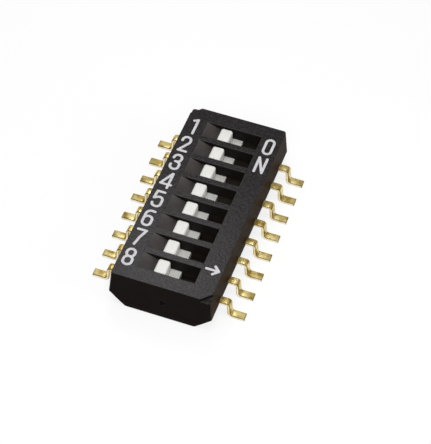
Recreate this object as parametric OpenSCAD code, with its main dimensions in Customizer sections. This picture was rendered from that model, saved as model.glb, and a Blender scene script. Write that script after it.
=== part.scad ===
// Row of miniature slide switches in one low moulded housing, for soldering flat on a board.
// Millimetres, +Z up. The origin lies on the board under the middle of the row.
// +X is the ON direction and +Y runs along the row towards switch 1.

/* [Row] */
// Number of switches in the row
positions = 8; // [2:1:12]
// Spacing of the switches along the row
pitch = 1.27; // [1.1:0.01:2.54]

/* [Slots in the roof] */
// Length of each slot, and of the channel under it
slot_l = 2.88; // [2.4:0.02:3.6]
// Rib left between two neighbouring slots
rib_w = 0.33; // [0.2:0.01:0.4]
// How far the finger ramp beside the knob drops
ramp_drop = 0.32; // [0.1:0.01:0.5]

/* [Cover] */
// Thickness of the roof
roof_t = 0.70; // [0.5:0.01:0.9]
// Long wall, measured at the roof
side_wall_t = 0.53; // [0.3:0.01:0.7]
// End wall, measured at its foot
end_wall_t = 0.57; // [0.4:0.01:0.8]
// Mould draft: how much further out a long wall stands at its foot
side_flare = 0.12; // [0.05:0.01:0.4]
// Mould draft: how much further out an end wall stands at its foot
end_flare = 0.10; // [0.01:0.01:0.15]
// Leg of the two corner notches that mark the cover's direction
notch_leg = 0.48; // [0.3:0.02:0.6]
// Depth of those notches
notch_depth = 0.20; // [0.1:0.01:0.3]
// Diameter of the sunk gate mark on the near end wall
gate_d = 0.30; // [0.2:0.02:0.5]
// Depth of the gate mark
gate_depth = 0.07; // [0.03:0.01:0.15]
// Height of the gate mark above the board
gate_z = 1.06; // [0.8:0.02:1.4]
// Sideways place of the gate mark
gate_x = 0.12; // [-1:0.02:1]

/* [Base] */
// Height of the ledge that the cover's long walls and the terminals lie on
ledge_z = 0.78; // [0.65:0.01:1]
// Gap between the base and the board
standoff = 0.03; // [0.02:0.01:0.1]
// Height of the base's strip that shows below the end walls
end_strip_h = 0.38; // [0.2:0.01:0.5]
// How far each sloped lower side runs inwards
base_flare = 0.75; // [0.5:0.01:0.9]
// Partition between two channels
partition_t = 0.18; // [0.12:0.01:0.24]
// Tray wall at the ends of the channels
tray_wall_t = 0.48; // [0.3:0.01:0.7]
// Tray wall at the two ends of the row
tray_end_t = 0.21; // [0.15:0.01:0.4]
// How far the snap ridges reach into the cover
snap_bite = 0.05; // [0.03:0.01:0.08]
// Length of each snap ridge
snap_l = 2.40; // [1:0.1:3]

/* [Slider] */
// Length of the plate under the roof, along the travel
plate_l = 1.88; // [1.6:0.02:2.2]
// Thickness of that plate
plate_t = 0.33; // [0.15:0.01:0.35]
// Length of the knob along the travel
knob_l = 0.60; // [0.4:0.02:0.9]
// How far the knob stands off the plate's middle, towards ON
knob_shift = 0.11; // [-0.1:0.01:0.15]
// How far the knob's top lies below the roof's face
knob_recess = 0.08; // [0.02:0.01:0.3]
// Radius of the knob's upright edges
knob_r = 0.12; // [0.03:0.01:0.15]
// Radius round the knob's top
crown_r = 0.10; // [0.03:0.01:0.15]
// Radius of the plate's corners
plate_r = 0.06; // [0.02:0.01:0.15]
// Diameter of the peg that the contact spring is staked on
peg_d = 0.22; // [0.15:0.01:0.3]
// How far the peg stands out under the spring
peg_head = 0.03; // [0.01:0.01:0.05]

/* [Terminals] */
// Width of a terminal outside the housing
lead_w = 0.40; // [0.3:0.01:0.5]
// Sheet thickness of the terminals
lead_t = 0.15; // [0.1:0.01:0.2]
// Straight shoulder from the housing to the upper bend
shoulder_l = 0.35; // [0.1:0.01:0.5]
// Inner radius of the upper bend, at the shoulder
corner_r = 0.04; // [0.02:0.01:0.2]
// Inner radius of the lower bend, above the foot
bend_r = 0.12; // [0.06:0.01:0.2]
// Lean of the leg away from the upright, in degrees
leg_lean = 4; // [0:1:15]
// Flat length of the foot
foot_l = 0.60; // [0.4:0.02:0.8]
// Width of the contact pad inside its channel
pad_w = 0.60; // [0.45:0.01:0.75]
// Length of the pad that is moulded into the tray wall
pad_root = 0.12; // [0.05:0.01:0.25]
// Bare floor between the two pads of one channel
pad_gap = 0.30; // [0.15:0.01:0.4]

/* [Contact spring] */
// Sheet thickness of the spring
spring_t = 0.06; // [0.04:0.01:0.08]
// Width of the spring
spring_w = 0.70; // [0.55:0.01:0.85]
// Distance from the spring's middle to each contact point
spring_reach = 0.58; // [0.5:0.01:0.65]
// Height left for the spring between the pads and the slider's plate
spring_room = 0.22; // [0.18:0.01:0.25]
// Slope of the spring's arms, in degrees
arm_slope = 25; // [20:1:30]
// Inner radius of the spring's bends
arm_r = 0.10; // [0.06:0.01:0.14]
// Upturned tip past the contact point
toe_l = 0.06; // [0.03:0.01:0.1]
// Slit that splits each arm in two fingers
slit_w = 0.12; // [0.08:0.01:0.2]

/* [Clearances] */
// Between the base and the cover
fit_gap = 0.03; // [0.02:0.005:0.05]
// Above the slider's plate and the partitions
lift_gap = 0.02; // [0.01:0.005:0.04]
// Beside the slider's plate in its channel
guide_gap = 0.03; // [0.02:0.005:0.05]
// Beside the knob in its slot
knob_gap = 0.035; // [0.02:0.005:0.06]
// Between the plate and the ends of its channel
stop_gap = 0.03; // [0.01:0.005:0.05]
// Around a terminal in the cover's wall
lead_gap = 0.03; // [0.02:0.005:0.05]
// Between a contact point and its pad
contact_gap = 0.02; // [0.01:0.005:0.03]
// Around the peg in the spring's hole
peg_gap = 0.01; // [0.005:0.005:0.03]

/* [Hidden] */
// Cuts run this far past the faces that they open
past = 0.5;
$fn = 48;

// Across the row, from the slots outwards
slot_w = pitch - rib_w;
channel_w = pitch - partition_t;
tray_w = slot_l + 2 * tray_wall_t;
cavity_w = tray_w + 2 * fit_gap;
top_w = cavity_w + 2 * side_wall_t;
body_w = top_w + 2 * side_flare;
bottom_w = body_w - 2 * base_flare;

// Along the row
row_l = (positions - 1) * pitch;
tray_l = row_l + channel_w + 2 * tray_end_t;
cavity_l = tray_l + 2 * fit_gap;
body_l = cavity_l + 2 * end_wall_t;
top_l = body_l - 2 * end_flare;

// Heights, from the board upwards
end_z = standoff + end_strip_h;
floor_z = ledge_z + lead_t;
plate_z = floor_z + spring_room;
roof_z = plate_z + plate_t + lift_gap;
top_z = roof_z + roof_t;

// Slider: at rest it stands at the OFF end of its travel
plate_w = channel_w - 2 * guide_gap;
knob_w = slot_w - 2 * knob_gap;
travel = slot_l - plate_l - 2 * stop_gap;
rest_x = -travel / 2;
ramp_foot_x = rest_x + knob_shift - knob_l / 2 - stop_gap;

// Terminal: the leg joins the shoulder at ledge height with the foot on the board
leg_turn = 90 - leg_lean;
bend_mid_rs = corner_r + bend_r + lead_t;
leg_l = (ledge_z - bend_mid_rs * (1 - cos(leg_turn))) / sin(leg_turn);
shoulder_x = body_w / 2 + shoulder_l;

// Spring: the straight part of an arm takes up what the two bends leave
arm_mid_r = arm_r + spring_t / 2;
arm_drop = spring_room - spring_t - contact_gap;
arm_l = (arm_drop - 2 * arm_mid_r * (1 - cos(arm_slope))) / sin(arm_slope);
seat_l = spring_reach - 2 * arm_mid_r * sin(arm_slope) - arm_l * cos(arm_slope);

moulded_black = "#35333a";
base_black = "#2b2726";
slider_white = "#f2f1ed";
gold = "#dcb653";
spring_gold = "#c9a14a";

// Place along the row of switch i, counted from the +Y end
function row_y(i) = pitch * ((positions + 1) / 2 - i);

// Extrudes a profile drawn as (x, height) along the row, centred
module along_row(length) {
    rotate([90, 0, 0])
        linear_extrude(height = length, center = true)
            children();
}

// Extrudes a profile drawn as (y, height) across the row, centred
module across_row(length) {
    rotate([90, 0, 90])
        linear_extrude(height = length, center = true)
            children();
}

// Box centred on x and y, between two heights
module slab(l, w, z0, z1) {
    translate([-l / 2, -w / 2, z0])
        cube([l, w, z1 - z0]);
}

module rounded_rect(l, w, r) {
    square([l - 2 * r, w], center = true);
    square([l, w - 2 * r], center = true);
    for (x = [-1, 1], y = [-1, 1])
        translate([x * (l / 2 - r), y * (w / 2 - r)])
            circle(r);
}

// Upright rectangle on the X axis with rounded upper corners
module crowned_rect(l, h, r) {
    translate([-l / 2, 0])
        square([l, h - r]);
    translate([r - l / 2, 0])
        square([l - 2 * r, h]);
    for (x = [-1, 1])
        translate([x * (l / 2 - r), h - r])
            circle(r);
}

// Round bend of a strip that starts at the origin along +X; a positive turn bends it upwards
module strip_bend(turn, r, t) {
    reach = 2 * (r + t);
    side = sign(turn);
    half = abs(turn) / 2;
    translate([0, side * (r + t / 2)])
        intersection() {
            difference() {
                circle(r + t);
                circle(r);
            }
            polygon([
                [0, 0],
                [0, -side * reach],
                [reach * sin(half), -side * reach * cos(half)],
                [reach * sin(2 * half), -side * reach * cos(2 * half)]
            ]);
        }
}

// Strip of even thickness: each step is [straight length, turn, inner bend radius]
module bent_strip(steps, t, k = 0) {
    if (k < len(steps)) {
        turn = steps[k][1];
        mid_r = steps[k][2] + t / 2;
        translate([0, -t / 2])
            square([steps[k][0], t]);
        translate([steps[k][0], 0]) {
            if (turn != 0)
                strip_bend(turn, steps[k][2], t);
            translate([mid_r * sin(abs(turn)), sign(turn) * mid_r * (1 - cos(turn))])
                rotate(turn)
                    bent_strip(steps, t, k + 1);
        }
    }
}

// Outer form of the cover: drafted long walls from one view, drafted ends from the other
module cover_form() {
    foot_w = body_w - 2 * base_flare * (ledge_z - end_z) / (ledge_z - standoff);
    intersection() {
        along_row(body_l)
            polygon([
                [-top_w / 2, top_z], [-body_w / 2, ledge_z], [-foot_w / 2, end_z],
                [foot_w / 2, end_z], [body_w / 2, ledge_z], [top_w / 2, top_z]
            ]);
        across_row(body_w)
            polygon([
                [-top_l / 2, top_z], [-body_l / 2, end_z],
                [body_l / 2, end_z], [top_l / 2, top_z]
            ]);
    }
}

// One slot: a finger ramp on the OFF side, then open through the roof
module slot_cut() {
    along_row(slot_w)
        polygon([
            [-slot_l / 2, top_z], [ramp_foot_x, top_z - ramp_drop], [ramp_foot_x, roof_z - past],
            [slot_l / 2, roof_z - past], [slot_l / 2, top_z + past], [-slot_l / 2, top_z + past]
        ]);
}

// Three-sided notch across the near ON corner of the roof
module corner_notch() {
    leg = notch_leg + 2 * past;
    translate([top_w / 2 + past, -top_l / 2 - past, top_z - notch_depth])
        linear_extrude(height = notch_depth + past)
            polygon([[0, 0], [0, leg], [-leg, 0]]);
}

// Wedge along the +Y end wall, with its edge at the given distance from the middle
module snap_wedge(edge_y, length) {
    z = (end_z + ledge_z) / 2;
    root = snap_bite + 2 * fit_gap;
    across_row(length)
        polygon([[edge_y - root, z - root], [edge_y, z], [edge_y - root, z + root]]);
}

module gate_cut() {
    face_y = -body_l / 2 + end_flare * (gate_z - end_z) / (top_z - end_z);
    translate([gate_x, face_y + gate_depth, gate_z])
        rotate([90, 0, 0])
            cylinder(d = gate_d, h = gate_depth + past);
}

module cover() {
    notch_w = lead_w + 2 * lead_gap;
    color(moulded_black)
        difference() {
            cover_form();
            slab(cavity_w, cavity_l, end_z - past, roof_z);
            slab(body_w + past, cavity_l, end_z - past, ledge_z);
            for (i = [1:positions]) {
                translate([0, row_y(i), 0]) {
                    slot_cut();
                    slab(body_w + past, notch_w, end_z, floor_z + lead_gap);
                }
            }
            for (turn = [0, 180])
                rotate(turn) {
                    corner_notch();
                    snap_wedge(cavity_l / 2 + snap_bite + fit_gap, snap_l + 2 * fit_gap);
                }
            gate_cut();
        }
}

// Contact pad of a right-hand terminal, from its end in the channel to its root in the tray wall
module pad(pad_x, z0, z1) {
    translate([pad_x, -pad_w / 2, z0])
        cube([slot_l / 2 + pad_root - pad_x, pad_w, z1 - z0]);
}

// Room that a right-hand terminal takes up in the floor of the tray
module terminal_inlay(pad_x) {
    pad(pad_x, ledge_z - past, floor_z + past);
    translate([pad_x, -lead_w / 2, ledge_z - past])
        cube([body_w / 2 - pad_x, lead_w, lead_t + 2 * past]);
}

// Where a pad ends inside its channel, seen from its own side of the housing
function pad_end(right) = right ? spring_reach + pad_gap / 2 : pad_gap / 2 - spring_reach;

// Places a terminal's parts: the left row is the mirror image of the right
module on_side(right) {
    mirror([right ? 0 : 1, 0, 0])
        children();
}

module base_block() {
    intersection() {
        along_row(body_l)
            polygon([
                [-body_w / 2, ledge_z], [-bottom_w / 2, standoff],
                [bottom_w / 2, standoff], [body_w / 2, ledge_z]
            ]);
        union() {
            slab(body_w, body_l, standoff, end_z);
            slab(body_w, tray_l, standoff, ledge_z);
        }
    }
    for (turn = [0, 180])
        rotate(turn)
            snap_wedge(cavity_l / 2 + snap_bite, snap_l);
}

// Floor of the tray, with the terminals let in flush
module base_floor() {
    difference() {
        slab(tray_w, tray_l, ledge_z, floor_z);
        for (i = [1:positions], right = [true, false])
            translate([0, row_y(i), 0])
                on_side(right)
                    terminal_inlay(pad_end(right));
    }
}

module base_walls() {
    difference() {
        slab(tray_w, tray_l, floor_z, roof_z - lift_gap);
        for (i = [1:positions])
            translate([0, row_y(i), 0])
                slab(slot_l, channel_w, floor_z - past, roof_z + past);
    }
}

module base() {
    color(base_black)
        union() {
            base_block();
            base_floor();
            base_walls();
        }
}

// Knob with rounded upright edges, and its top rounded along and across the row
module knob() {
    height = top_z - knob_recess - plate_z;
    translate([knob_shift, 0, plate_z])
        intersection() {
            linear_extrude(height = height)
                rounded_rect(knob_l, knob_w, knob_r);
            along_row(knob_w)
                crowned_rect(knob_l, height, crown_r);
            across_row(knob_l)
                crowned_rect(knob_w, height, crown_r);
        }
}

module slider(i) {
    peg_z = plate_z - spring_t - peg_head;
    color(slider_white)
        translate([rest_x, row_y(i), 0]) {
            translate([0, 0, plate_z])
                linear_extrude(height = plate_t)
                    rounded_rect(plate_l, plate_w, plate_r);
            knob();
            translate([0, 0, peg_z])
                cylinder(d = peg_d, h = plate_z - peg_z + plate_t / 2);
        }
}

// Leaf that bridges the two pads: a flat seat and two split, sloped arms with upturned tips
module contact_spring(i) {
    hole_d = peg_d + 2 * peg_gap;
    color(spring_gold)
        translate([rest_x, row_y(i), 0])
            difference() {
                along_row(spring_w)
                    translate([0, plate_z - spring_t / 2])
                        for (side = [0, 1])
                            mirror([side, 0])
                                bent_strip([
                                    [seat_l, -arm_slope, arm_r],
                                    [arm_l, 2 * arm_slope, arm_r],
                                    [toe_l, 0, 0]
                                ], spring_t);
                for (side = [0, 1])
                    mirror([side, 0, 0])
                        translate([seat_l, -slit_w / 2, floor_z])
                            cube([plate_l, slit_w, spring_room + past]);
                translate([0, 0, floor_z])
                    cylinder(d = hole_d, h = spring_room + past);
            }
}

// Terminals are counted down the left side and back up the right
module terminal(i) {
    right = i > positions;
    switch = right ? 2 * positions + 1 - i : i;
    pad_x = pad_end(right);
    color(gold)
        translate([0, row_y(switch), 0])
            on_side(right) {
                pad(pad_x, ledge_z, floor_z);
                along_row(lead_w)
                    translate([pad_x, ledge_z + lead_t / 2])
                        bent_strip([
                            [shoulder_x - pad_x, -leg_turn, corner_r],
                            [leg_l, leg_turn, bend_r],
                            [foot_l, 0, 0]
                        ], lead_t);
            }
}

cover();
base();
for (i = [1:positions]) {
    slider(i);
    contact_spring(i);
}
for (i = [1:2 * positions])
    terminal(i);
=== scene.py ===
"""Looks of a row of eight miniature slide switches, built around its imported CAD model.

The meshes are modelled in millimetres in the CAD frame and scaled to metres when they become
pieces: +X is the ON direction, +Y runs along the row towards switch 1 and z = 0 is the board.
"""

import logging
import math
from collections.abc import Callable, Iterable, Sequence
from dataclasses import dataclass, field
from enum import Enum
from typing import Any

import bmesh
import bpy
from bmesh.types import BMEdge, BMesh, BMFace, BMVert
from mathutils import Matrix, Vector

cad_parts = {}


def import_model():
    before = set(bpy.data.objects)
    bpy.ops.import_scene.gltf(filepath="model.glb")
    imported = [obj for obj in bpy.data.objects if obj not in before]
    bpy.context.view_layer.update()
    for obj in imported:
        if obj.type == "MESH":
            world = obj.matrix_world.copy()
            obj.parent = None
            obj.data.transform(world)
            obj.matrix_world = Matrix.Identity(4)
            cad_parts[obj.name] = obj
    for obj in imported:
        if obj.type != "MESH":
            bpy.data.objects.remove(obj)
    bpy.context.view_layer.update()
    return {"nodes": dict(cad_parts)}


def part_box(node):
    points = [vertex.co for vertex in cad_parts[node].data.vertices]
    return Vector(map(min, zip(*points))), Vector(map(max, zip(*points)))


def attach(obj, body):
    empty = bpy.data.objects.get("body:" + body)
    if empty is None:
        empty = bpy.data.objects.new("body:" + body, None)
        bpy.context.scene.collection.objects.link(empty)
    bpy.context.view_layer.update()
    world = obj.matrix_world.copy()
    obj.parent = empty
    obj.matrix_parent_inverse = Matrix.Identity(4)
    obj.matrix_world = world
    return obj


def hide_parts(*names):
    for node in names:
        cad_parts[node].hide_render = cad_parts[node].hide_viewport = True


LOG = logging.getLogger("dip_switch")

MM = 0.001
HOUSING = "housing"
SWITCHES = 8

# Corners closer than the first are one, and heights closer than the second are level.
MERGE_MM = 1e-4
LEVEL_MM = 0.005

# Angles between faces: within one flat face, at an edge to round, and at one shaded as sharp.
FLAT_RAD = math.radians(0.5)
EDGE_RAD = math.radians(20)
CREASE_RAD = math.radians(40)

# Shares of a face's normal along an axis: roughly that way, and squarely that way.
FACING = 0.5
SQUARE_ON = 0.97

# Sockets of a colour Mix node, whose names aren't unique.
MIX_SHARE, MIX_FIRST, MIX_SECOND, MIX_RESULT = 0, 6, 7, 2

# Parts of a noise pattern's range: the tips of a grain, all of a grain, and cloudy patches.
TIP_SPREAD = (0.4, 0.7)
GRAIN_SPREAD = (0.3, 0.7)
PATCH_SPREAD = (0.35, 0.65)

PLASTIC_IOR = 1.55
NYLON_GLOW = 0.25
NYLON_DEPTHS = (1.0, 0.95, 0.85)
PLATING_CLOUD_MM = 0.35

Rgba = tuple[float, float, float, float]
Point = tuple[float, float]


class Combine(Enum):
    """How one solid is combined with another."""

    JOIN = "UNION"
    CUT = "DIFFERENCE"


class Side(Enum):
    """Side of the housing that a terminal leaves from."""

    OFF = -1
    ON = 1


class LidFace(Enum):
    """Kinds of face on the lid, numbered as its materials are."""

    ROOF = 0
    WALL = 1
    END = 2
    SLOT = 3
    RAMP = 4


class StripFace(Enum):
    """Kinds of face on a terminal's strip, numbered as its materials are."""

    ROLLED = 0
    SHEARED = 1
    CORNER = 2


def linear(hex_colour: str) -> Rgba:
    """Turns an sRGB hex colour to linear light.

    Args:
        hex_colour: six hex digits after a hash sign.

    Returns:
        Red, green, blue and an alpha of 1.
    """
    channels = [int(hex_colour[k:k + 2], 16) / 255 for k in (1, 3, 5)]
    red, green, blue = (
        c / 12.92 if c <= 0.04045 else ((c + 0.055) / 1.055) ** 2.4 for c in channels
    )
    return red, green, blue, 1.0


def per_mm(size_mm: float) -> float:
    """Gives the texture scale at which a pattern repeats about every size_mm."""
    return 1 / (size_mm * MM)


def add_node(
    tree: bpy.types.NodeTree,
    kind: str,
    inputs: dict[str | int, Any] | None = None,
    **settings: Any,
) -> bpy.types.Node:
    """Adds one node with its settings, values and links.

    Args:
        tree: node tree that gets the node.
        kind: the node's type name.
        inputs: for each input, a value or the output socket that feeds it.
        **settings: properties of the node.

    Returns:
        The new node.
    """
    node = tree.nodes.new(kind)
    for name, value in settings.items():
        setattr(node, name, value)
    for key, value in (inputs or {}).items():
        if isinstance(value, bpy.types.NodeSocket):
            tree.links.new(value, node.inputs[key])
        else:
            node.inputs[key].default_value = value
    return node


def blank_material(name: str) -> tuple[bpy.types.Material, bpy.types.NodeTree]:
    """Makes a material with an empty node tree.

    Args:
        name: name of the material.

    Returns:
        The material and its tree.
    """
    material = bpy.data.materials.new(name)
    material.use_nodes = True
    material.node_tree.nodes.clear()
    return material, material.node_tree


@dataclass(frozen=True)
class Moulding:
    """Moulded thermoplastic: a base tone, soft clouds in it and the grain of the mould's face."""

    name: str
    dark: str
    light: str
    cloud_mm: float
    grain_mm: float
    grain_depth_mm: float
    speck: str
    speck_share: float
    roughness: tuple[float, float]
    specular: float
    subsurface_mm: float = 0.0

    def material(self) -> bpy.types.Material:
        """Builds the material on Object coordinates.

        Returns:
            The finished material.
        """
        material, tree = blank_material(self.name)
        place = add_node(tree, "ShaderNodeTexCoord").outputs["Object"]
        cloud = add_node(
            tree, "ShaderNodeTexNoise",
            {"Vector": place, "Scale": per_mm(self.cloud_mm), "Detail": 3.0},
        )
        grain = add_node(
            tree, "ShaderNodeTexNoise",
            {"Vector": place, "Scale": per_mm(self.grain_mm), "Detail": 2.0, "Roughness": 0.6},
        )
        tone = add_node(
            tree, "ShaderNodeMix",
            {MIX_SHARE: cloud.outputs["Fac"],
             MIX_FIRST: linear(self.dark), MIX_SECOND: linear(self.light)},
            data_type="RGBA",
        )
        tips = add_node(
            tree, "ShaderNodeMapRange",
            {"Value": grain.outputs["Fac"], "From Min": TIP_SPREAD[0], "From Max": TIP_SPREAD[1],
             "To Min": 0.0, "To Max": self.speck_share},
        )
        colour = add_node(
            tree, "ShaderNodeMix",
            {MIX_SHARE: tips.outputs["Result"],
             MIX_FIRST: tone.outputs[MIX_RESULT], MIX_SECOND: linear(self.speck)},
            data_type="RGBA",
        )
        gloss = add_node(
            tree, "ShaderNodeMapRange",
            {"Value": grain.outputs["Fac"],
             "From Min": GRAIN_SPREAD[0], "From Max": GRAIN_SPREAD[1],
             "To Min": self.roughness[0], "To Max": self.roughness[1]},
        )
        relief = add_node(
            tree, "ShaderNodeBump",
            {"Height": grain.outputs["Fac"], "Strength": 1.0,
             "Distance": self.grain_depth_mm * MM},
        )
        shader = add_node(
            tree, "ShaderNodeBsdfPrincipled",
            {"Base Color": colour.outputs[MIX_RESULT], "Roughness": gloss.outputs["Result"],
             "Normal": relief.outputs["Normal"], "IOR": PLASTIC_IOR,
             "Specular IOR Level": self.specular},
        )
        if self.subsurface_mm:
            shader.inputs["Subsurface Weight"].default_value = NYLON_GLOW
            shader.inputs["Subsurface Radius"].default_value = NYLON_DEPTHS
            shader.inputs["Subsurface Scale"].default_value = self.subsurface_mm * MM
        add_node(tree, "ShaderNodeOutputMaterial", {"Surface": shader.outputs["BSDF"]})
        return material


@dataclass(frozen=True)
class PlatedStrip:
    """Metal strip: a tone in cloudy patches, and rolling marks along X that change its gloss."""

    name: str
    dark: str
    light: str
    mark_mm: tuple[float, float]
    mark_depth_mm: float
    roughness: tuple[float, float]

    def material(self) -> bpy.types.Material:
        """Builds the material on Object coordinates, with the marks drawn out along X.

        Returns:
            The finished material.
        """
        material, tree = blank_material(self.name)
        place = add_node(tree, "ShaderNodeTexCoord").outputs["Object"]
        along, across = (per_mm(size) for size in self.mark_mm)
        drawn = add_node(
            tree, "ShaderNodeMapping", {"Vector": place, "Scale": (along, across, across)}
        )
        marks = add_node(
            tree, "ShaderNodeTexNoise",
            {"Vector": drawn.outputs["Vector"], "Scale": 1.0, "Detail": 2.0},
        )
        cloud = add_node(
            tree, "ShaderNodeTexNoise",
            {"Vector": place, "Scale": per_mm(PLATING_CLOUD_MM), "Detail": 3.0},
        )
        patches = add_node(
            tree, "ShaderNodeMapRange",
            {"Value": cloud.outputs["Fac"],
             "From Min": PATCH_SPREAD[0], "From Max": PATCH_SPREAD[1]},
        )
        colour = add_node(
            tree, "ShaderNodeMix",
            {MIX_SHARE: patches.outputs["Result"],
             MIX_FIRST: linear(self.dark), MIX_SECOND: linear(self.light)},
            data_type="RGBA",
        )
        gloss = add_node(
            tree, "ShaderNodeMapRange",
            {"Value": marks.outputs["Fac"],
             "From Min": GRAIN_SPREAD[0], "From Max": GRAIN_SPREAD[1],
             "To Min": self.roughness[0], "To Max": self.roughness[1]},
        )
        relief = add_node(
            tree, "ShaderNodeBump",
            {"Height": marks.outputs["Fac"], "Strength": 1.0,
             "Distance": self.mark_depth_mm * MM},
        )
        shader = add_node(
            tree, "ShaderNodeBsdfPrincipled",
            {"Base Color": colour.outputs[MIX_RESULT], "Metallic": 1.0,
             "Roughness": gloss.outputs["Result"], "Normal": relief.outputs["Normal"]},
        )
        add_node(tree, "ShaderNodeOutputMaterial", {"Surface": shader.outputs["BSDF"]})
        return material


# Glass-filled black LCP against a spark-eroded mould face: dull charcoal with a fine sparkle,
# whose grain is coarse enough to show in the render.
ROOF_FINISH = Moulding(
    name="black_lcp_spark_textured", dark="#110e0f", light="#1d1819", cloud_mm=1.1,
    grain_mm=0.12, grain_depth_mm=0.01, speck="#665e60", speck_share=0.11,
    roughness=(0.22, 0.35), specular=0.17,
)

# The same black LCP on the drafted long walls, between the terminals: duller, and lighter and
# browner than the end walls as painted reflection of the gold terminals and painted light.
WALL_PAINTED_REFLECTION = Moulding(
    name="black_lcp_long_wall_painted_reflection", dark="#140e0a", light="#2d2017", cloud_mm=0.7,
    grain_mm=0.09, grain_depth_mm=0.004, speck="#57442f", speck_share=0.2,
    roughness=(0.45, 0.6), specular=0.02,
)

# The same black LCP on the end walls, darkened to the deepest black as painted shade.
END_WALL_PAINTED_SHADE = Moulding(
    name="black_lcp_end_wall_painted_shade", dark="#0e0a08", light="#181210", cloud_mm=0.9,
    grain_mm=0.09, grain_depth_mm=0.002, speck="#2c231d", speck_share=0.15,
    roughness=(0.5, 0.65), specular=0.02,
)

# Black LCP of the insert-moulded base's tray, with a satin face, and lighter than the other black
# plastic as painted light down in the slots.
TRAY_PAINTED_LIGHT = Moulding(
    name="black_lcp_satin_tray_painted_light", dark="#2a2623", light="#3d3733", cloud_mm=0.9,
    grain_mm=0.08, grain_depth_mm=0.003, speck="#4a423c", speck_share=0.2,
    roughness=(0.5, 0.65), specular=0.02,
)

# The same LCP on the slots' walls, drawn smooth by the mould's cores.
SLOT_FINISH = Moulding(
    name="black_lcp_core_drawn", dark="#161312", light="#231f1d", cloud_mm=0.6,
    grain_mm=0.08, grain_depth_mm=0.002, speck="#2e2826", speck_share=0.2,
    roughness=(0.5, 0.65), specular=0.05,
)

# The same LCP on the finger ramps, from the same cores: smooth, and lighter than the roof as
# painted light on the sloped faces.
RAMP_PAINTED_LIGHT = Moulding(
    name="black_lcp_finger_ramp_painted_light", dark="#302c2b", light="#413c3a", cloud_mm=0.6,
    grain_mm=0.1, grain_depth_mm=0.003, speck="#453e3b", speck_share=0.2,
    roughness=(0.4, 0.52), specular=0.25,
)

# Natural white nylon, moulded: satin, faintly translucent, with hardly any mottle.
SLIDER_FINISH = Moulding(
    name="white_nylon_moulded", dark="#d8d7d2", light="#e6e5e1", cloud_mm=0.4,
    grain_mm=0.05, grain_depth_mm=0.0015, speck="#f7f6f3", speck_share=0.2,
    roughness=(0.38, 0.5), specular=0.4, subsurface_mm=0.12,
)

# White two-part epoxy ink, pad printed: chalky, thin over the tips of the texture below it.
INK_FINISH = Moulding(
    name="white_epoxy_pad_print", dark="#c2c1c4", light="#e0dfe2", cloud_mm=0.3,
    grain_mm=0.07, grain_depth_mm=0.004, speck="#8f8d91", speck_share=0.4,
    roughness=(0.55, 0.7), specular=0.25,
)

# Bright gold flash over nickel on phosphor bronze strip: warm yellow with rolling marks.
GOLD_FINISH = PlatedStrip(
    name="gold_flash_on_bronze_strip", dark="#b0944a", light="#f9e7a3",
    mark_mm=(0.9, 0.06), mark_depth_mm=0.0015, roughness=(0.24, 0.38),
)

# Sheared sides of the strip under the same gold flash: duller, with upright tool marks, and paler
# as a painted highlight of the white floor.
SHEARED_PAINTED_HIGHLIGHT = PlatedStrip(
    name="gold_flash_sheared_side_painted_highlight", dark="#e6ce8e", light="#fff3cc",
    mark_mm=(0.06, 0.5), mark_depth_mm=0.002, roughness=(0.3, 0.45),
)

# Rolled-over corners of the strip, darkened into a dark outline as painted shade.
CORNER_PAINTED_SHADE = PlatedStrip(
    name="gold_strip_corner_painted_shade", dark="#5f4e22", light="#8f7639",
    mark_mm=(0.1, 0.1), mark_depth_mm=0.001, roughness=(0.35, 0.5),
)

# Thin gold-plated beryllium copper leaf of the contact springs, stamped and formed.
SPRING_FINISH = PlatedStrip(
    name="gold_on_copper_leaf", dark="#bd9344", light="#d8b262",
    mark_mm=(0.6, 0.04), mark_depth_mm=0.0008, roughness=(0.22, 0.36),
)


def node_solid(node: bpy.types.Object) -> BMesh:
    """Copies a CAD node's mesh as one closed solid.

    Args:
        node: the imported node, which stays as it is.

    Returns:
        The solid in millimetres, with its triangles joined at their corners.
    """
    solid = bmesh.new()
    solid.from_mesh(node.data)
    bmesh.ops.scale(solid, vec=(1 / MM,) * 3, verts=solid.verts)
    bmesh.ops.remove_doubles(solid, verts=solid.verts, dist=MERGE_MM)
    return solid


def whole_faces(solid: BMesh) -> None:
    """Joins the triangles of each flat face."""
    bmesh.ops.dissolve_limit(
        solid, angle_limit=FLAT_RAD, verts=solid.verts, edges=solid.edges
    )


def combined(first: BMesh, second: BMesh, how: Combine) -> BMesh:
    """Joins one solid to another or cuts it out of it.

    Args:
        first: the solid that is changed, freed afterwards.
        second: the solid that is joined or cut out, freed afterwards.
        how: what is done.

    Returns:
        The new solid.
    """
    bodies = []
    for solid in (first, second):
        mesh = bpy.data.meshes.new("blank")
        solid.to_mesh(mesh)
        solid.free()
        body = bpy.data.objects.new("blank", mesh)
        bpy.context.scene.collection.objects.link(body)
        bodies.append(body)
    step = bodies[0].modifiers.new("combine", "BOOLEAN")
    step.operation = how.value
    step.solver = "EXACT"
    step.object = bodies[1]
    bpy.context.view_layer.update()
    view = bpy.context.evaluated_depsgraph_get()
    result = bmesh.new()
    result.from_object(bodies[0], view)
    for body in bodies:
        mesh = body.data
        bpy.data.objects.remove(body)
        bpy.data.meshes.remove(mesh)
    bmesh.ops.remove_doubles(result, verts=result.verts, dist=MERGE_MM)
    return result


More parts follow.
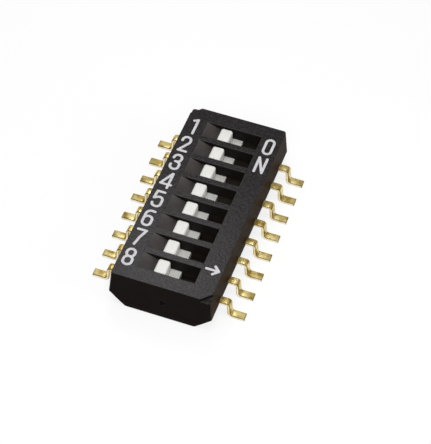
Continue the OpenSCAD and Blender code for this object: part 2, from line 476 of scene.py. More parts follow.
def round_edges(
    solid: BMesh, radius: float, segments: int, wanted: Callable[[BMEdge], bool]
) -> None:
    """Rounds the chosen outer edges of a solid.

    Args:
        solid: the solid that is changed.
        radius: how far the rounding reaches from each edge.
        segments: steps across the rounding.
        wanted: tells whether an edge is rounded.
    """
    solid.normal_update()
    edges = [
        edge for edge in solid.edges
        if edge.is_manifold and edge.is_convex
        and edge.calc_face_angle() > EDGE_RAD and wanted(edge)
    ]
    bmesh.ops.bevel(
        solid, geom=edges, offset=radius, offset_type="OFFSET", segments=segments,
        profile=0.5, affect="EDGES", material=-1, clamp_overlap=True,
    )


def middle(edge: BMEdge) -> Vector:
    """Gives the middle of an edge."""
    return (edge.verts[0].co + edge.verts[1].co) / 2


def make_piece(
    solid: BMesh,
    name: str,
    body: str,
    materials: Sequence[bpy.types.Material],
    stands_for: str | None = None,
) -> bpy.types.Object:
    """Turns a solid in millimetres into a piece in metres that rides on a body.

    Args:
        solid: the solid, freed afterwards.
        name: name of the piece.
        body: CAD body that carries it.
        materials: finishes, in the order of the faces' material numbers.
        stands_for: CAD node that the piece replaces.

    Returns:
        The piece.
    """
    bmesh.ops.scale(solid, vec=(MM,) * 3, verts=solid.verts)
    mesh = bpy.data.meshes.new(name)
    solid.to_mesh(mesh)
    solid.free()
    for material in materials:
        mesh.materials.append(material)
    mesh.shade_smooth()
    mesh.set_sharp_from_angle(angle=CREASE_RAD)
    piece = bpy.data.objects.new(name, mesh)
    bpy.context.scene.collection.objects.link(piece)
    flats = piece.modifiers.new("keep_flats_flat", "WEIGHTED_NORMAL")
    flats.keep_sharp = True
    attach(piece, body)
    if stands_for:
        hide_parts(stands_for)
    LOG.info("%s: %d faces on %s", name, len(mesh.polygons), body)
    return piece


@dataclass
class Cover:
    """Moulded lid: rounded outer edges, softened slot rims and a round gate mark."""

    node: bpy.types.Object
    roof: bpy.types.Material
    wall_painted_reflection: bpy.types.Material
    end: bpy.types.Material
    slot: bpy.types.Material
    ramp_with_painted_light: bpy.types.Material
    corner_r: float = 0.13
    edge_r: float = 0.06
    rim_r: float = 0.025
    slot_reach_x: float = 1.47
    slot_reach_y: float = 5.0
    roof_margin: float = 0.4
    notch_reach: float = 0.23
    corner_rise: float = 0.3
    end_y: float = 5.5
    gate_at: tuple[float, float, float] = (0.12, -5.677, 1.06)
    gate_r: float = 0.152
    gate_tool_l: float = 1.0
    stub_r: float = 0.085
    stub_taper: float = 0.6
    stub_l: float = 0.05
    stub_shift: float = 0.015
    stub_edge_r: float = 0.012
    stub_edge_y: float = 0.02

    def build(self) -> BMesh:
        """Models the lid from its CAD solid.

        Returns:
            The solid, with its faces numbered as LidFace says.
        """
        solid = combined(node_solid(self.node), self.gate_tool(), Combine.CUT)
        whole_faces(solid)
        top = max(vert.co.z for vert in solid.verts)
        foot = min(vert.co.z for vert in solid.verts)
        round_edges(solid, self.corner_r, 6, self.is_corner)
        round_edges(solid, self.edge_r, 4, lambda edge: self.is_outer(edge, top, foot))
        round_edges(solid, self.rim_r, 2, lambda edge: self.is_rim(edge, top))
        solid.normal_update()
        for face in solid.faces:
            face.material_index = self.finish_of(face).value
        return solid

    def by_slots(self, at: Vector) -> bool:
        """Tells whether a place lies within the reach of the row of slots."""
        return abs(at.x) < self.slot_reach_x and abs(at.y) < self.slot_reach_y

    def finish_of(self, face: BMFace) -> LidFace:
        """Chooses the finish of one face of the lid.

        Args:
            face: the face.

        Returns:
            What kind of face it is.
        """
        in_slot = self.by_slots(face.calc_center_median())
        if face.normal.z > FACING:
            # Sloped faces in the slots get the ramps' lighter colour, which is painted light.
            sloped = face.normal.z < SQUARE_ON
            return LidFace.RAMP if in_slot and sloped else LidFace.ROOF
        if in_slot:
            return LidFace.SLOT
        # Faces towards an end get the darkest colour, painted shade; the long walls get the brown
        # painted reflection and light.
        return LidFace.END if abs(face.normal.y) > FACING else LidFace.WALL

    def gate_tool(self) -> BMesh:
        """Models the round tool that leaves the sunk gate mark.

        Returns:
            A cylinder from the bottom of the mark outwards.
        """
        x, y, z = self.gate_at
        place = Matrix.Translation((x, y - self.gate_tool_l / 2, z))
        tool = bmesh.new()
        bmesh.ops.create_cone(
            tool, cap_ends=True, segments=40, radius1=self.gate_r, radius2=self.gate_r,
            depth=self.gate_tool_l, matrix=place @ Matrix.Rotation(math.pi / 2, 4, "X"),
        )
        return tool

    def is_corner(self, edge: BMEdge) -> bool:
        """Tells whether an edge is an upright corner of the lid, or the slope below one."""
        rise = abs(edge.verts[0].co.z - edge.verts[1].co.z)
        return rise > self.corner_rise and abs(middle(edge).y) > self.end_y

    def is_outer(self, edge: BMEdge, top: float, foot: float) -> bool:
        """Tells whether an edge lies on the lid's outline.

        Args:
            edge: the edge.
            top: height of the roof's face.
            foot: height of the end walls' feet.

        Returns:
            True for the outlines of the roof and its notches, and for the feet of the ends.
        """
        at = middle(edge)
        heights = [vert.co.z for vert in edge.verts]
        beside = abs(at.x) > self.slot_reach_x + self.roof_margin
        high = min(heights) > top - self.notch_reach
        low = max(heights) < foot + 2 * LEVEL_MM and abs(at.y) > self.end_y
        return (beside or abs(at.y) > self.slot_reach_y) and (high or low)

    def is_rim(self, edge: BMEdge, top: float) -> bool:
        """Tells whether an edge is the rim of a slot in the roof.

        Args:
            edge: the edge.
            top: height of the roof's face.

        Returns:
            True for the rims, at the roof's face.
        """
        level = min(vert.co.z for vert in edge.verts) > top - LEVEL_MM
        return level and self.by_slots(middle(edge))

    def stub(self) -> BMesh:
        """Models the broken-off gate at the bottom of its mark.

        Returns:
            A low cone with a rounded outer edge.
        """
        x, y, z = self.gate_at
        place = Matrix.Translation((x, y - self.stub_shift, z))
        stub = bmesh.new()
        bmesh.ops.create_cone(
            stub, cap_ends=True, segments=24, radius1=self.stub_r,
            radius2=self.stub_r * self.stub_taper, depth=self.stub_l,
            matrix=place @ Matrix.Rotation(math.pi / 2, 4, "X"),
        )
        outer_y = y - self.stub_edge_y
        round_edges(stub, self.stub_edge_r, 2, lambda edge: middle(edge).y < outer_y)
        return stub

    def dress(self) -> None:
        """Makes the lid and its gate stub pieces of the housing."""
        make_piece(
            self.build(), "cover_moulding", HOUSING,
            [self.roof, self.wall_painted_reflection, self.end, self.slot, self.ramp_with_painted_light], "cover",
        )
        # The gate stub shares the end walls' painted shade.
        make_piece(self.stub(), "cover_gate_stub", HOUSING, [self.end])


@dataclass
class Base:
    """Insert-moulded base below the cover, with broken edges."""

    node: bpy.types.Object
    tray: bpy.types.Material
    outside: bpy.types.Material
    corner_r: float = 0.13
    edge_r: float = 0.03
    ledge_z: float = 0.78
    strip_z: float = 0.43
    end_y: float = 5.3
    foot_z: float = 0.05

    def build(self) -> BMesh:
        """Models the base from its CAD solid, with its outer lower edges rounded.

        Returns:
            The solid, with the tray as material 0 and the outside as material 1.
        """
        solid = node_solid(self.node)
        whole_faces(solid)
        round_edges(solid, self.corner_r, 6, self.is_corner)
        round_edges(solid, self.edge_r, 3, self.is_low)
        for face in solid.faces:
            # Faces above the ledge take the tray's painted light; those below, the end walls'
            # painted shade.
            face.material_index = 0 if face.calc_center_median().z > self.ledge_z else 1
        return solid

    def is_corner(self, edge: BMEdge) -> bool:
        """Tells whether an edge is a sloped corner of the strips below the lid's end walls.

        Args:
            edge: the edge.

        Returns:
            True for the four corners, from the underside up to the lid.
        """
        heights = [vert.co.z for vert in edge.verts]
        rises = max(heights) - min(heights) > self.strip_z / 2
        return rises and max(heights) < self.strip_z and abs(middle(edge).y) > self.end_y

    def is_low(self, edge: BMEdge) -> bool:
        """Tells whether an edge lies round the underside or round a strip at an end."""
        height = max(vert.co.z for vert in edge.verts)
        return height < self.foot_z or height < self.strip_z and abs(middle(edge).y) > self.end_y

    def dress(self) -> None:
        """Makes the base a piece of the housing."""
        make_piece(
            self.build(), "base_moulding", HOUSING, [self.tray, self.outside], "base"
        )


@dataclass
class Slider:
    """White slider of one switch: a knob on a flat plate, with the spring's peg below."""

    number: int
    finish: bpy.types.Material
    knob_l: float = 0.60
    knob_w: float = 0.87
    knob_shift: float = 0.11
    knob_r: float = 0.12
    crown_r: float = 0.10
    plate_t: float = 0.33
    plate_r: float = 0.06
    plate_edge_r: float = 0.03
    upright_margin: float = 0.05
    peg_d: float = 0.22
    peg_l: float = 0.09

    def build(self) -> BMesh:
        """Models the slider at rest, from the box of its CAD node.

        Returns:
            One moulding, and the peg set into it.
        """
        low, high = (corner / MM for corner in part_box(f"slider_{self.number}"))
        centre = (low + high) / 2
        plate_z = low.z + self.peg_l
        top_z = plate_z + self.plate_t
        plate_l, plate_w = high.x - low.x, high.y - low.y
        solid = bmesh.new()
        bmesh.ops.create_cube(solid, size=1.0)
        bmesh.ops.scale(solid, vec=(plate_l, plate_w, self.plate_t), verts=solid.verts)
        bmesh.ops.translate(
            solid, vec=(centre.x, centre.y, plate_z + self.plate_t / 2), verts=solid.verts
        )
        solid.normal_update()
        crown = [face for face in solid.faces if face.normal.z > SQUARE_ON]
        margin = (plate_w - self.knob_w) / 2
        bmesh.ops.inset_region(solid, faces=crown, thickness=margin, use_even_offset=True)
        bmesh.ops.scale(
            solid, vec=(self.knob_l / (plate_l - 2 * margin), 1.0, 1.0), verts=crown[0].verts,
            space=Matrix.Translation(-centre),
        )
        bmesh.ops.translate(solid, vec=(self.knob_shift, 0, 0), verts=crown[0].verts)
        raised = bmesh.ops.extrude_face_region(solid, geom=crown)["geom"]
        bmesh.ops.translate(
            solid, vec=(0, 0, high.z - top_z), verts=[v for v in raised if isinstance(v, BMVert)]
        )
        bmesh.ops.delete(solid, geom=[f for f in crown if f.is_valid], context="FACES_ONLY")
        self.soften(solid, plate_z, top_z, high.z)
        set_l = self.peg_l + self.plate_t / 2
        bmesh.ops.create_cone(
            solid, cap_ends=True, segments=32, radius1=self.peg_d / 2, radius2=self.peg_d / 2,
            depth=set_l, matrix=Matrix.Translation((centre.x, centre.y, low.z + set_l / 2)),
        )
        return solid

    def soften(self, solid: BMesh, plate_z: float, top_z: float, crown_z: float) -> None:
        """Rounds the knob and the plate.

        Args:
            solid: the slider, which is changed.
            plate_z: height of the plate's underside.
            top_z: height of the plate's upper face.
            crown_z: height of the knob's top.
        """
        margin = self.upright_margin
        round_edges(
            solid, self.knob_r, 6,
            lambda edge: top_z + margin < middle(edge).z < crown_z - margin,
        )
        round_edges(solid, self.crown_r, 6, lambda edge: middle(edge).z > crown_z - LEVEL_MM)
        round_edges(
            solid, self.plate_r, 4,
            lambda edge: plate_z + margin < middle(edge).z < top_z - margin,
        )
        round_edges(
            solid, self.plate_edge_r, 3, lambda edge: abs(middle(edge).z - top_z) < LEVEL_MM
        )

    def dress(self) -> None:
        """Makes the slider a piece of its switch."""
        make_piece(
            self.build(), f"slider_{self.number}_moulding", f"switch_{self.number}",
            [self.finish], f"slider_{self.number}",
        )


@dataclass
class Terminal:
    """Gull-wing terminal: a contact pad, a shoulder, two bends, a leg and a foot."""

    number: int
    side: Side
    plate: bpy.types.Material
    sheared: bpy.types.Material
    corner: bpy.types.Material
    on_pad_end_x: float = 0.73
    off_pad_end_x: float = -0.43
    pad_root_x: float = 1.56
    pad_w: float = 0.60
    step_l: float = 0.01
    lead_w: float = 0.40
    lead_t: float = 0.15
    shoulder_x: float = 2.95
    corner_r: float = 0.04
    bend_r: float = 0.12
    leg_turn_deg: float = 86.0
    ledge_z: float = 0.78
    foot_l: float = 0.60
    edge_r: float = 0.03
    flat_share: float = 0.2
    bend_steps: int = 12

    def build(self) -> BMesh:
        """Models the strip for the ON side and turns it over for the OFF side.

        Returns:
            The solid, with its faces numbered as StripFace says.
        """
        low, high = (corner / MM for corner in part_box(f"terminal_{self.number}"))
        pad_end_x = self.on_pad_end_x if self.side is Side.ON else self.off_pad_end_x
        solid = bmesh.new()
        bmesh.ops.create_grid(solid, x_segments=1, y_segments=1, size=0.5)
        bmesh.ops.scale(solid, vec=(self.lead_t, self.pad_w, 1), verts=solid.verts)
        bmesh.ops.bevel(
            solid, geom=solid.verts[:], offset=self.edge_r, offset_type="OFFSET", segments=3,
            profile=0.5, affect="VERTICES", material=-1,
        )
        bmesh.ops.rotate(
            solid, cent=(0, 0, 0), matrix=Matrix.Rotation(math.pi / 2, 3, "Y"), verts=solid.verts
        )
        bmesh.ops.translate(
            solid, vec=(pad_end_x, (low.y + high.y) / 2, high.z - self.lead_t / 2),
            verts=solid.verts,
        )
        face = self.push(solid, solid.faces[:][0], Vector((self.pad_root_x - pad_end_x, 0, 0)))
        face = self.narrow(solid, face)
        shoulder_l = self.shoulder_x - self.pad_root_x - self.step_l
        face = self.push(solid, face, Vector((shoulder_l, 0, 0)))
        turn = math.radians(self.leg_turn_deg)
        drop = (self.corner_r + self.bend_r + self.lead_t) * (1 - math.cos(turn))
        leg_l = (self.ledge_z - drop) / math.sin(turn)
        face = self.bend(solid, face, Vector((0, 0, -1)), turn, self.corner_r)
        face = self.push(solid, face, Vector((math.cos(turn), 0, -math.sin(turn))) * leg_l)
        face = self.bend(
            solid, face, Vector((math.sin(turn), 0, math.cos(turn))), -turn, self.bend_r
        )
        face = self.push(solid, face, Vector((self.foot_l, 0, 0)))
        tip_x = face.calc_center_median().x
        bmesh.ops.recalc_face_normals(solid, faces=solid.faces)
        round_edges(solid, self.edge_r, 2, lambda edge: middle(edge).x > tip_x - MERGE_MM)
        bmesh.ops.remove_doubles(solid, verts=solid.verts, dist=MERGE_MM)
        solid.normal_update()
        for surface in solid.faces:
            surface.material_index = self.finish_of(surface, tip_x).value
        if self.side is Side.OFF:
            bmesh.ops.scale(solid, vec=(-1, 1, 1), verts=solid.verts)
            bmesh.ops.reverse_faces(solid, faces=solid.faces)
        return solid

    def finish_of(self, face: BMFace, tip_x: float) -> StripFace:
        """Chooses the finish of one face of the strip.

        Args:
            face: the face, on a terminal of the ON side.
            tip_x: where the foot ends.

        Returns:
            What kind of face it is. The tip is sheared, as the sides are.
        """
        aside = abs(face.normal.y)
        at_x = face.calc_center_median().x
        is_tip = face.normal.x > SQUARE_ON and at_x > tip_x - MERGE_MM
        # Sides and tip get the paler colour, a painted highlight.
        if aside > SQUARE_ON or is_tip:
            return StripFace.SHEARED
        # Rounded corners get the darker colour, painted shade.
        if aside > self.flat_share or at_x > tip_x - self.edge_r:
            return StripFace.CORNER
        return StripFace.ROLLED

    def push(self, solid: BMesh, face: BMFace, way: Vector) -> BMFace:
        """Draws the strip out straight.

        Args:
            solid: the strip, which is changed.
            face: its end.
            way: how far it is drawn, and which way.

        Returns:
            The new end.
        """
        inside = any(len(edge.link_faces) > 1 for edge in face.edges)
        made = bmesh.ops.extrude_face_region(solid, geom=[face])["geom"]
        bmesh.ops.translate(solid, vec=way, verts=[v for v in made if isinstance(v, BMVert)])
        if inside:
            bmesh.ops.delete(solid, geom=[face], context="FACES_ONLY")
        return next(f for f in made if isinstance(f, BMFace))

    def narrow(self, solid: BMesh, face: BMFace) -> BMFace:
        """Steps the strip in from the pad's width to the lead's.

        Args:
            solid: the strip, which is changed.
            face: its end.

        Returns:
            The narrower end.
        """
        face = self.push(solid, face, Vector((self.step_l, 0, 0)))
        middle_y = face.calc_center_median().y
        step = (self.pad_w - self.lead_w) / 2
        for vert in face.verts:
            vert.co.y -= math.copysign(step, vert.co.y - middle_y)
        return face

    def bend(
        self, solid: BMesh, face: BMFace, inwards: Vector, turn: float, inner_r: float
    ) -> BMFace:
        """Bends the strip round an axis along Y.

        Args:
            solid: the strip, which is changed.
            face: its end.
            inwards: direction from the strip to the middle of the bend.
            turn: angle of the bend, positive downwards.
            inner_r: radius on the inside of the bend.

        Returns:
            The new end.
        """
        centre = face.calc_center_median() + inwards * (inner_r + self.lead_t / 2)
        made = bmesh.ops.spin(
            solid, geom=[face, *face.edges, *face.verts], cent=centre, axis=(0, 1, 0),
            angle=turn, steps=self.bend_steps, use_duplicate=False,
        )["geom_last"]
        return next(f for f in made if isinstance(f, BMFace))

    def dress(self) -> None:
        """Makes the terminal a piece of the housing."""
        make_piece(
            self.build(), f"terminal_{self.number}_strip", HOUSING,
            [self.plate, self.sheared, self.corner], f"terminal_{self.number}",
        )


@dataclass(frozen=True)
class Stroke:
    """One stroke of a printed sign: a line through points, rounded where it turns."""

    points: tuple[Point, ...]
    radius: float = 0.2
    closed: bool = False


# Plain rounded signs in millimetres about their middles, read with +Y up.
SIGNS: dict[str, tuple[Stroke, ...]] = {
    "1": (
        Stroke(((0.10, -0.475), (0.10, 0.475))),
        Stroke(((-0.085, 0.37), (0.10, 0.475))),
    ),
    "2": (
        Stroke(((-0.2, 0.2), (-0.2, 0.475), (0.21, 0.475), (0.21, 0.15), (-0.2, -0.475))),
        Stroke(((-0.2, -0.475), (0.21, -0.475))),
    ),
    "3": (
        Stroke(((-0.2, 0.24), (-0.2, 0.475), (0.2, 0.475), (0.2, 0.03), (-0.05, 0.03))),
        Stroke(((-0.05, 0.03), (0.21, 0.03), (0.21, -0.475), (-0.21, -0.475), (-0.21, -0.2))),
    ),
    "4": (
        Stroke(((0.16, -0.475), (0.16, 0.475))),
        Stroke(((0.14, 0.475), (-0.25, -0.26))),
        Stroke(((-0.25, -0.26), (0.28, -0.26))),
    ),
    "5": (
        Stroke(((0.2, 0.475), (-0.17, 0.475))),
        Stroke(((-0.17, 0.475), (-0.2, 0.02))),
        Stroke(((-0.2, 0.02), (0.0, 0.14), (0.22, 0.14), (0.22, -0.475), (-0.21, -0.475),
                (-0.21, -0.44)), radius=0.19),
    ),
    "6": (
        Stroke(((-0.21, 0.1), (0.21, 0.1), (0.21, -0.475), (-0.21, -0.475)), closed=True),
        Stroke(((-0.21, -0.2), (-0.21, 0.475), (0.18, 0.44)), radius=0.24),
    ),
    "7": (
        Stroke(((-0.21, 0.465), (0.22, 0.465))),
        Stroke(((0.22, 0.465), (0.03, -0.02), (-0.07, -0.475)), radius=0.6),
    ),
    "8": (
        Stroke(((-0.2, 0.02), (0.2, 0.02), (0.2, 0.475), (-0.2, 0.475)), closed=True),
        Stroke(((-0.215, -0.475), (0.215, -0.475), (0.215, 0.02), (-0.215, 0.02)), closed=True),
    ),
    "O": (Stroke(((-0.2, -0.475), (0.2, -0.475), (0.2, 0.475), (-0.2, 0.475)), closed=True),),
    "N": (
        Stroke(((-0.2, -0.475), (-0.2, 0.475))),
        Stroke(((-0.2, 0.475), (0.2, -0.475))),
        Stroke(((0.2, -0.475), (0.2, 0.475))),
    ),
    "arrow": (
        Stroke(((-0.32, 0.0), (0.3, 0.0))),
        Stroke(((0.06, 0.24), (0.3, 0.0))),
        Stroke(((0.06, -0.24), (0.3, 0.0))),
    ),
}


@dataclass
class Print:
    """White signs on the roof: a number beside each slot, ON, and an arrow towards ON."""

    finish: bpy.types.Material
    stroke_w: float = 0.133
    ink_t: float = 0.008
    weld: float = 0.0008
    pitch: float = 1.27
    number_x: float = -2.003
    on_x: float = 1.977
    shift_y: float = -0.057
    arrow_y: float = -3.88
    arc_steps: int = 10
    roof_z: float = field(init=False)

    def __post_init__(self) -> None:
        """Takes the height of the roof from the CAD node."""
        self.roof_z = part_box("cover")[1].z / MM

    def layout(self) -> list[tuple[str, float, float]]:
        """Lists the signs.

        Returns:
            The name of each sign and its place on the roof.
        """
        row_middle = (SWITCHES + 1) / 2
        rows = {
            n: self.pitch * (row_middle - n) + self.shift_y for n in range(1, SWITCHES + 1)
        }
        signs = [(str(n), self.number_x, y) for n, y in rows.items()]
        letters = [("O", self.on_x, rows[1]), ("N", self.on_x, rows[2])]
        return signs + letters + [("arrow", self.on_x, self.arrow_y)]

    def build(self) -> BMesh:
        """Models all the signs.

        Returns:
            Thin solids that stand on the roof.
        """
        sheet = bmesh.new()
        for name, x, y in self.layout():
            sign = None
            for stroke in SIGNS[name]:
                layer = self.thickened(self.ribbon(stroke))
                sign = combined(sign, layer, Combine.JOIN) if sign else layer
            bmesh.ops.translate(sign, vec=(x, y, self.roof_z), verts=sign.verts)
            bmesh.ops.remove_doubles(sign, verts=sign.verts, dist=self.weld)
            whole_faces(sign)
            gaps = [edge for edge in sign.edges if edge.is_boundary]
            bmesh.ops.holes_fill(sign, edges=gaps, sides=0)
            mesh = bpy.data.meshes.new(f"sign_{name}")
            sign.to_mesh(mesh)
            sign.free()
            sheet.from_mesh(mesh)
            bpy.data.meshes.remove(mesh)
        return sheet

    def thickened(self, ribbon: BMesh) -> BMesh:
        """Gives a flat ribbon the thickness of the ink.

        Args:
            ribbon: the ribbon, which is changed.

        Returns:
            The same mesh as a closed solid.
        """
        bmesh.ops.remove_doubles(ribbon, verts=ribbon.verts, dist=MERGE_MM)
        made = bmesh.ops.extrude_face_region(ribbon, geom=ribbon.faces[:])["geom"]
        bmesh.ops.translate(
            ribbon, vec=(0, 0, self.ink_t), verts=[v for v in made if isinstance(v, BMVert)]
        )
        bmesh.ops.recalc_face_normals(ribbon, faces=ribbon.faces)
        return ribbon

    def ribbon(self, stroke: Stroke) -> BMesh:
        """Draws one stroke as a flat ribbon of even width with round ends.

        Args:
            stroke: the line that it follows.

        Returns:
            The flat ribbon.
        """
        points = [Vector((x, y, 0.0)) for x, y in stroke.points]
        if stroke.closed:
            seam = (points[0] + points[-1]) / 2
            points = [seam, *points, seam]
        ways = [(b - a).normalized() for a, b in zip(points, points[1:])]
        turns = [math.atan2(a.cross(b).z, a.dot(b)) for a, b in zip(ways, ways[1:])]
        cuts = [0.0, *(stroke.radius * math.tan(abs(t) / 2) for t in turns), 0.0]
        flat = bmesh.new()
        across = Vector((-ways[0].y, ways[0].x, 0.0)) * (self.stroke_w / 2)
        ends = [flat.verts.new(points[0] + across), flat.verts.new(points[0] - across)]
        first = edge = flat.edges.new(ends)
        for k, way in enumerate(ways):
            length = (points[k + 1] - points[k]).length - cuts[k] - cuts[k + 1]
            if length > MERGE_MM:
                edge = self.drawn(flat, edge, way * length)
            if k < len(turns):
                edge = self.turned(flat, edge, way, turns[k], stroke.radius)
        if not stroke.closed:
            for end, way in ((first, -ways[0]), (edge, ways[-1])):
                self.rounded_end(flat, end, way)
        return flat

    def drawn(self, flat: BMesh, edge: BMEdge, way: Vector) -> BMEdge:
        """Draws the ribbon's end on along a straight line.

        Args:
            flat: the ribbon, which is changed.
            edge: its end.
            way: how far, and which way.

        Returns:
            The new end.
        """
        made = bmesh.ops.extrude_edge_only(flat, edges=[edge])["geom"]
        bmesh.ops.translate(flat, vec=way, verts=[v for v in made if isinstance(v, BMVert)])
        return next(
            e for e in made if isinstance(e, BMEdge) and all(v in made for v in e.verts)
        )

    def turned(
        self, flat: BMesh, edge: BMEdge, way: Vector, turn: float, radius: float
    ) -> BMEdge:
        """Draws the ribbon's end on round a bend.

        Args:
            flat: the ribbon, which is changed.
            edge: its end.
            way: direction that it arrives in.
            turn: angle of the bend, positive to the left.
            radius: radius of the bend's middle line.

        Returns:
            The new end.
        """
        left = Vector((-way.y, way.x, 0.0)) * math.copysign(radius, turn)
        steps = max(2, round(self.arc_steps * abs(turn) / (math.pi / 2)))
        made = bmesh.ops.spin(
            flat, geom=[edge, *edge.verts], cent=middle(edge) + left, axis=(0, 0, 1),
            angle=turn, steps=steps, use_duplicate=False,
        )["geom_last"]
        return next(e for e in made if isinstance(e, BMEdge))

    def rounded_end(self, flat: BMesh, edge: BMEdge, way: Vector) -> None:
        """Closes the ribbon's end with a half round.

        Args:
            flat: the ribbon, which is changed.
            edge: its end.
            way: direction out of the ribbon.
        """
        corner = edge.verts[0]
        half, hub = bmesh.utils.edge_split(edge, corner, 0.5)
        arm = corner.co - hub.co
        turn = math.copysign(math.pi, arm.cross(way).z)
        bmesh.ops.spin(
            flat, geom=[half, corner, hub], cent=hub.co.copy(), axis=(0, 0, 1),
            angle=turn, steps=2 * self.arc_steps, use_duplicate=False,
        )

    def dress(self) -> None:
        """Makes the print one piece of the housing."""
        make_piece(self.build(), "cover_print", HOUSING, [self.finish])


@dataclass(frozen=True)
class PhotoCamera:
    """Camera at the photograph's place, as fitted to the edges of the part."""

    azimuth_deg: float = 18.07
    elevation_deg: float = 50.734
    roll_deg: float = 2.033
    distance_mm: float = 88.656
    focal_px: float = 1805.117
    aim_px: Point = (201.025, 215.367)
    frame_px: Point = (431.0, 444.0)
    aim_z_mm: float = 1.0
    sensor_mm: float = 36.0
    clip_m: tuple[float, float] = (0.005, 10.0)

    def place(self) -> None:
        """Makes the camera and sets it as the scene's own."""
        azimuth, elevation, roll = (
            math.radians(a) for a in (self.azimuth_deg, self.elevation_deg, self.roll_deg)
        )
        back = Vector((
            math.sin(azimuth) * math.cos(elevation),
            -math.cos(azimuth) * math.cos(elevation),
            math.sin(elevation),
        ))
        level = Vector((math.cos(azimuth), math.sin(azimuth), 0.0))
        upright = back.cross(level)
        right = level * math.cos(roll) + upright * math.sin(roll)
        up = upright * math.cos(roll) - level * math.sin(roll)
        mm_per_px = self.distance_mm / self.focal_px
        aside = (self.aim_px[0] - self.frame_px[0] / 2) * mm_per_px
        above = (self.frame_px[1] / 2 - self.aim_px[1]) * mm_per_px
        eye = Vector((0, 0, self.aim_z_mm)) - right * aside - up * above + back * self.distance_mm
        lens = bpy.data.cameras.new("photo_camera")
        lens.sensor_width = self.sensor_mm
        lens.lens = self.focal_px * self.sensor_mm / max(self.frame_px)
        lens.clip_start, lens.clip_end = self.clip_m
        camera = bpy.data.objects.new("photo_camera", lens)
        turn = Matrix((right, up, back)).transposed().to_4x4()
        camera.matrix_world = Matrix.Translation(eye * MM) @ turn
        bpy.context.scene.collection.objects.link(camera)
        bpy.context.scene.camera = camera


@dataclass(frozen=True)
class SoftBox:
    """Square studio lamp with a diffuser, aimed at the part."""

    name: str
    at_mm: tuple[float, float, float]
    size_mm: float
    watts: float

    def place(self) -> None:
        """Hangs the lamp in the scene."""
        light = bpy.data.lights.new(self.name, "AREA")
        light.size = self.size_mm * MM
        light.energy = self.watts
        lamp = bpy.data.objects.new(self.name, light)
        at = Vector(self.at_mm) * MM
        turn = (-at).to_track_quat("-Z", "Y").to_matrix().to_4x4()
        lamp.matrix_world = Matrix.Translation(at) @ turn
        bpy.context.scene.collection.objects.link(lamp)


@dataclass(frozen=True)
class Studio:
    """White sweep under a soft tent, bright above and behind, darker in front."""

    lamps: tuple[SoftBox, ...]
    tent_from: tuple[float, float, float] = (-0.25, 0.45, 0.86)
    tent_dim: float = 0.14
    tent_bright: float = 0.58
    floor_tone: str = "#ffffff"
    shadow_share: float = 0.2
    floor_mm: float = 1200.0
    floor_drop_mm: float = 0.002

    def build(self) -> None:
        """Builds the floor, the tent and the lamps."""
        self.floor()
        self.tent()
        for lamp in self.lamps:
            lamp.place()
        bpy.context.scene.view_settings.view_transform = "Standard"

    def seen(self, tree: bpy.types.NodeTree) -> bpy.types.NodeSocket:
        """Adds the test for rays that show the white background.

        Args:
            tree: node tree that gets the test.

        Returns:
            1 for rays from the camera and in reflections, 0 for the light on the part.
        """
        path = add_node(tree, "ShaderNodeLightPath")
        mirrored = add_node(
            tree, "ShaderNodeMath",
            {0: path.outputs["Is Glossy Ray"], 1: path.outputs["Is Transmission Ray"]},
            operation="MAXIMUM",
        )
        return add_node(
            tree, "ShaderNodeMath",
            {0: path.outputs["Is Camera Ray"], 1: mirrored.outputs[0]},
            operation="MAXIMUM",
        ).outputs[0]

    def floor(self) -> None:
        """Lays the white sweep, which keeps a share of the part's shadow."""
        material, tree = blank_material("white_paper_sweep")
        paper = add_node(tree, "ShaderNodeBsdfDiffuse", {"Color": linear(self.floor_tone)})
        glow = add_node(tree, "ShaderNodeEmission", {"Strength": 1.0})
        shaded = add_node(
            tree, "ShaderNodeMixShader",
            {0: self.shadow_share, 1: glow.outputs[0], 2: paper.outputs[0]},
        )
        shown = add_node(
            tree, "ShaderNodeMixShader",
            {0: self.seen(tree), 1: paper.outputs[0], 2: shaded.outputs[0]},
        )
        add_node(tree, "ShaderNodeOutputMaterial", {"Surface": shown.outputs[0]})
        flat = bmesh.new()
        bmesh.ops.create_grid(flat, x_segments=1, y_segments=1, size=self.floor_mm * MM / 2)
        bmesh.ops.translate(flat, vec=(0, 0, -self.floor_drop_mm * MM), verts=flat.verts)
        mesh = bpy.data.meshes.new("paper_sweep")
        flat.to_mesh(mesh)
        flat.free()
        mesh.materials.append(material)
        sweep = bpy.data.objects.new("paper_sweep", mesh)
        bpy.context.scene.collection.objects.link(sweep)

    def tent(self) -> None:
        """Hangs the light tent as the world, white to the camera."""
        world = bpy.data.worlds.new("light_tent")
        bpy.context.scene.world = world
        world.use_nodes = True
        tree = world.node_tree
        tree.nodes.clear()
        way = add_node(tree, "ShaderNodeTexCoord").outputs["Generated"]
        towards = add_node(
            tree, "ShaderNodeVectorMath",
            {0: way, 1: Vector(self.tent_from).normalized()}, operation="DOT_PRODUCT",
        )
        glow = add_node(
            tree, "ShaderNodeMapRange",
            {"Value": towards.outputs["Value"], "From Min": 0.0, "From Max": 1.0,
             "To Min": self.tent_dim, "To Max": self.tent_bright},
            interpolation_type="SMOOTHSTEP",
        )
        cloth = add_node(
            tree, "ShaderNodeBackground",
            {"Color": (1, 1, 1, 1), "Strength": glow.outputs["Result"]},
        )
        white = add_node(tree, "ShaderNodeBackground", {"Color": (1, 1, 1, 1), "Strength": 1.0})
        path = add_node(tree, "ShaderNodeLightPath")
        shown = add_node(
            tree, "ShaderNodeMixShader",
            {0: path.outputs["Is Camera Ray"], 1: cloth.outputs[0], 2: white.outputs[0]},
        )
        add_node(tree, "ShaderNodeOutputWorld", {"Surface": shown.outputs[0]})


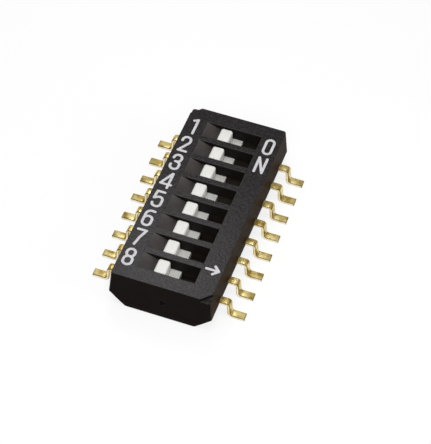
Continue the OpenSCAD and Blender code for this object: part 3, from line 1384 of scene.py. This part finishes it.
def dress_springs(nodes: Iterable[bpy.types.Object], finish: bpy.types.Material) -> None:
    """Gives the CAD contact springs their finish.

    Args:
        nodes: the springs' CAD objects.
        finish: the metal they get.
    """
    for node in nodes:
        node.data.materials.clear()
        node.data.materials.append(finish)
        LOG.info("%s: dressed as %s", node.name, finish.name)


def main() -> None:
    """Builds the sub-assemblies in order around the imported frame."""
    logging.basicConfig(level=logging.INFO, format="%(name)s: %(message)s")
    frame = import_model()
    nodes = frame["nodes"]

    PhotoCamera().place()
    Studio(
        lamps=(
            SoftBox("key_box", at_mm=(12.0, -42.0, 46.0), size_mm=30.0, watts=0.0125),
            SoftBox("fill_box", at_mm=(110.0, -10.0, 45.0), size_mm=60.0, watts=0.04),
            SoftBox("sheen_box", at_mm=(-8.5, 15.5, 33.0), size_mm=9.5, watts=0.0018),
            SoftBox("top_box", at_mm=(0.0, -8.0, 60.0), size_mm=20.0, watts=0.008),
        ),
    ).build()

    strip = [finish.material() for finish in (GOLD_FINISH, SHEARED_PAINTED_HIGHLIGHT, CORNER_PAINTED_SHADE)]
    # The wall, end and ramp finishes hold painted reflection and light, painted shade and painted
    # light.
    roof, wall_painted_reflection, end, slot, ramp_with_painted_light = (
        finish.material()
        for finish in (ROOF_FINISH, WALL_PAINTED_REFLECTION, END_WALL_PAINTED_SHADE, SLOT_FINISH, RAMP_PAINTED_LIGHT)
    )
    # The tray's colour is painted light, and the outside shares the end walls' painted shade.
    Base(nodes["base"], TRAY_PAINTED_LIGHT.material(), end).dress()
    Cover(nodes["cover"], roof, wall_painted_reflection, end, slot, ramp_with_painted_light).dress()
    slider_white = SLIDER_FINISH.material()
    for number in range(1, SWITCHES + 1):
        Slider(number, slider_white).dress()
    for number in range(1, 2 * SWITCHES + 1):
        side = Side.ON if number > SWITCHES else Side.OFF
        Terminal(number, side, *strip).dress()
    springs = (nodes[f"contact_spring_{number}"] for number in range(1, SWITCHES + 1))
    dress_springs(springs, SPRING_FINISH.material())
    Print(INK_FINISH.material()).dress()


if __name__ == "__main__":
    main()
